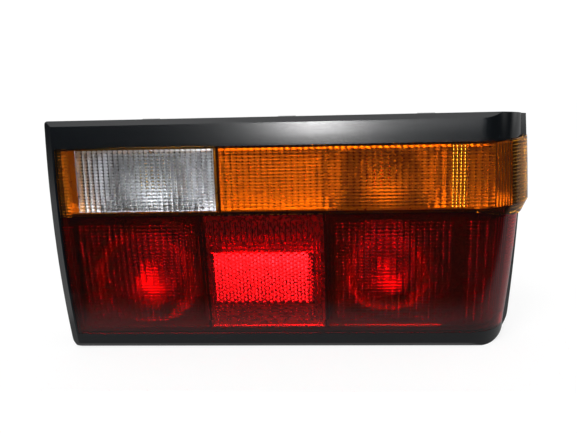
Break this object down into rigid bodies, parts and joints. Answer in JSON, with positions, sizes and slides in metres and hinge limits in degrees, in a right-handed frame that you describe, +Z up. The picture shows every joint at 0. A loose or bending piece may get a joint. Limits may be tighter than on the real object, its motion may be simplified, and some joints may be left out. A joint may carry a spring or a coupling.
{
  "type": "tail light cluster",
  "caption": "Wide rear lamp cluster for a car, with amber, clear and red lens sections and a prism reflector in a black bezel.",
  "frame": {"origin": "centre of the four mounting studs on the rear face of the housing's plate", "axes": "+X to the side where the lens wraps round, +Y into the car body along the studs, +Z up; the lens looks towards -Y"},
  "size_m": [0.39, 0.088, 0.201],
  "materials": {
    "bezel_black": "satin black moulding",
    "lens_amber": "clear amber acrylic",
    "lens_clear": "clear acrylic",
    "lens_red": "clear red acrylic",
    "reflex_red": "prismatic red acrylic",
    "housing_black": "moulded, fine grain",
    "tray_silver": "vacuum metallised",
    "foam_grey": "closed-cell foam",
    "rubber_black": "matt",
    "steel_zinc": "zinc plated",
    "carrier_ivory": "heat-resistant moulding",
    "brass": "bright",
    "bulb_glass": "clear glass"
  },
  "bodies": {
    "root": {"bezel": "bezel_black", "lens_amber": "lens_amber", "lens_clear": "lens_clear", "lens_red": "lens_red", "reflex_reflector": "reflex_red", "lens_seal": "foam_grey", "housing": "housing_black", "tray_reversing": "tray_silver", "tray_indicator": "tray_silver", "tray_fog": "tray_silver", "tray_stop_tail": "tray_silver", "tray_middle": "tray_silver", "body_gasket": "foam_grey", "mounting_studs": "steel_zinc", "vent_caps": "rubber_black", "bulb_carrier": "carrier_ivory", "carrier_seal": "foam_grey", "strip_fog": "brass", "strip_reversing": "brass", "strip_earth": "brass", "strip_tail": "brass", "strip_stop": "brass", "strip_indicator": "brass", "cap_reversing": "brass", "glass_reversing": "bulb_glass", "cap_indicator": "brass", "glass_indicator": "bulb_glass", "cap_fog": "brass", "glass_fog": "bulb_glass", "cap_stop_tail": "brass", "glass_stop_tail": "bulb_glass"}
  },
  "joints": []
}
